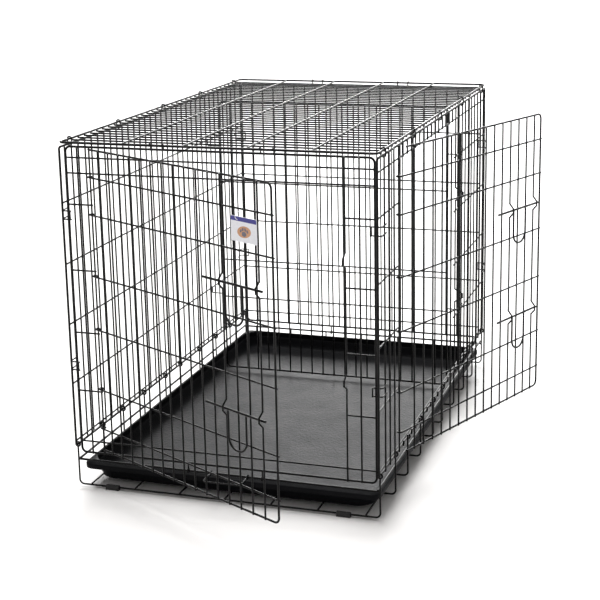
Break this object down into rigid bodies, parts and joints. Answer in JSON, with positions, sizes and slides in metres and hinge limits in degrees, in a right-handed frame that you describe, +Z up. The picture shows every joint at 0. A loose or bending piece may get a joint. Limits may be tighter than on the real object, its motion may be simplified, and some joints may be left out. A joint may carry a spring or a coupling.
{
  "type": "wire dog crate",
  "caption": "Folding black wire dog crate with bolted front and side doors, a slide-out plastic tray and a movable divider panel.",
  "frame": {"origin": "on the floor under the centre of the base frame's footprint", "axes": "+Z up; -Y towards the front end panel and its door; +X towards the side with the second door"},
  "size_m": [0.9068, 1.3476, 0.7731],
  "materials": {
    "black_wire": "satin black coat on steel wire",
    "black_rod": "satin black coat on steel rod",
    "tray_plastic": "moulded satin black plastic",
    "foot_rubber": "matt black rubber",
    "card_paper": "matt printed card",
    "tie_plastic": "plain white plastic tie"
  },
  "bodies": {
    "crate_frame": {"base_cross_wires": "black_wire", "base_floor_wires": "black_wire", "base_end_rails": "black_wire", "base_side_rails": "black_wire", "rear_posts": "black_wire", "left_frame": "black_wire", "left_uprights": "black_wire", "left_lines": "black_wire", "left_catches": "black_wire", "right_frame": "black_wire", "right_uprights": "black_wire", "right_lines": "black_wire", "right_keeper": "black_wire", "right_catches": "black_wire", "roof_frame": "black_wire", "roof_cross_wires": "black_wire", "roof_long_wires": "black_wire", "roof_hooks": "black_wire", "left_hinge_links": "black_wire", "right_hinge_links": "black_wire", "front_feet": "foot_rubber", "rear_feet": "foot_rubber"},
    "front_panel": {"front_frame": "black_wire", "front_uprights": "black_wire", "front_lines": "black_wire", "front_keeper": "black_wire", "front_eyes": "black_wire"},
    "rear_panel": {"rear_frame": "black_wire", "rear_uprights": "black_wire", "rear_lines": "black_wire", "rear_eyes": "black_wire"},
    "front_door_leaf": {"front_door_edge": "black_wire", "front_door_uprights": "black_wire", "front_door_lines": "black_wire", "front_door_guides": "black_wire", "front_door_eyes": "black_wire", "hang_card": "card_paper", "card_tie": "tie_plastic"},
    "side_door_leaf": {"side_door_edge": "black_wire", "side_door_uprights": "black_wire", "side_door_lines": "black_wire", "side_door_guides": "black_wire", "side_door_eyes": "black_wire"},
    "front_upper_rod": {"front_upper_bolt": "black_rod"},
    "front_upper_pull": {"front_upper_handle": "black_rod"},
    "front_lower_rod": {"front_lower_bolt": "black_rod"},
    "front_lower_pull": {"front_lower_handle": "black_rod"},
    "side_upper_rod": {"side_upper_bolt": "black_rod"},
    "side_upper_pull": {"side_upper_handle": "black_rod"},
    "side_lower_rod": {"side_lower_bolt": "black_rod"},
    "side_lower_pull": {"side_lower_handle": "black_rod"},
    "slide_tray": {"tray": "tray_plastic"},
    "stop_loop": {"tray_stop": "black_wire"},
    "divider": {"divider_frame": "black_wire", "divider_uprights": "black_wire", "divider_lines": "black_wire", "divider_hooks": "black_wire"}
  },
  "joints": [
    {"name": "front_panel_fold", "type": "hinge", "parent": "crate_frame", "child": "front_panel", "pos_m": [0, -0.5268, 0.062], "axis": [-1, 0, 0], "range_deg": [0, 4]},
    {"name": "rear_panel_fold", "type": "hinge", "parent": "crate_frame", "child": "rear_panel", "pos_m": [0, 0.5268, 0.062], "axis": [1, 0, 0], "range_deg": [0, 18]},
    {"name": "front_door_swing", "type": "hinge", "parent": "front_panel", "child": "front_door_leaf", "pos_m": [-0.278, -0.5309, 0.4], "axis": [0, 0, -1], "range_deg": [-28, 100]},
    {"name": "side_door_swing", "type": "hinge", "parent": "crate_frame", "child": "side_door_leaf", "pos_m": [0.3461, -0.387, 0.4], "axis": [0, 0, -1], "range_deg": [-21, 120]},
    {"name": "front_upper_bolt_slide", "type": "slide", "parent": "front_door_leaf", "child": "front_upper_rod", "axis": [0.8829, -0.4695, 0], "range_m": [0, 0.035]},
    {"name": "front_upper_handle_swing", "type": "hinge", "parent": "front_upper_rod", "child": "front_upper_pull", "pos_m": [0.12075, -0.75866, 0.549], "axis": [-0.8829, 0.4695, 0], "range_deg": [0, 165]},
    {"name": "front_lower_bolt_slide", "type": "slide", "parent": "front_door_leaf", "child": "front_lower_rod", "axis": [0.8829, -0.4695, 0], "range_m": [0, 0.035]},
    {"name": "front_lower_handle_swing", "type": "hinge", "parent": "front_lower_rod", "child": "front_lower_pull", "pos_m": [0.12075, -0.75866, 0.296], "axis": [-0.8829, 0.4695, 0], "range_deg": [0, 165]},
    {"name": "side_upper_bolt_slide", "type": "slide", "parent": "side_door_leaf", "child": "side_upper_rod", "axis": [0.3584, 0.9336, 0], "range_m": [0, 0.035]},
    {"name": "side_upper_handle_swing", "type": "hinge", "parent": "side_upper_rod", "child": "side_upper_pull", "pos_m": [0.52357, 0.03653, 0.549], "axis": [-0.3584, -0.9336, 0], "range_deg": [0, 165]},
    {"name": "side_lower_bolt_slide", "type": "slide", "parent": "side_door_leaf", "child": "side_lower_rod", "axis": [0.3584, 0.9336, 0], "range_m": [0, 0.035]},
    {"name": "side_lower_handle_swing", "type": "hinge", "parent": "side_lower_rod", "child": "side_lower_pull", "pos_m": [0.52357, 0.03653, 0.296], "axis": [-0.3584, -0.9336, 0], "range_deg": [0, 165]},
    {"name": "tray_slide", "type": "slide", "parent": "crate_frame", "child": "slide_tray", "axis": [0, -1, 0], "range_m": [0, 0.19]},
    {"name": "tray_stop_swing", "type": "hinge", "parent": "crate_frame", "child": "stop_loop", "pos_m": [0.009, -0.5268, 0.062], "axis": [-1, 0, 0], "range_deg": [-90, 0]},
    {"name": "divider_slide", "type": "slide", "parent": "crate_frame", "child": "divider", "axis": [0, -1, 0], "range_m": [0, 0.63]}
  ]
}
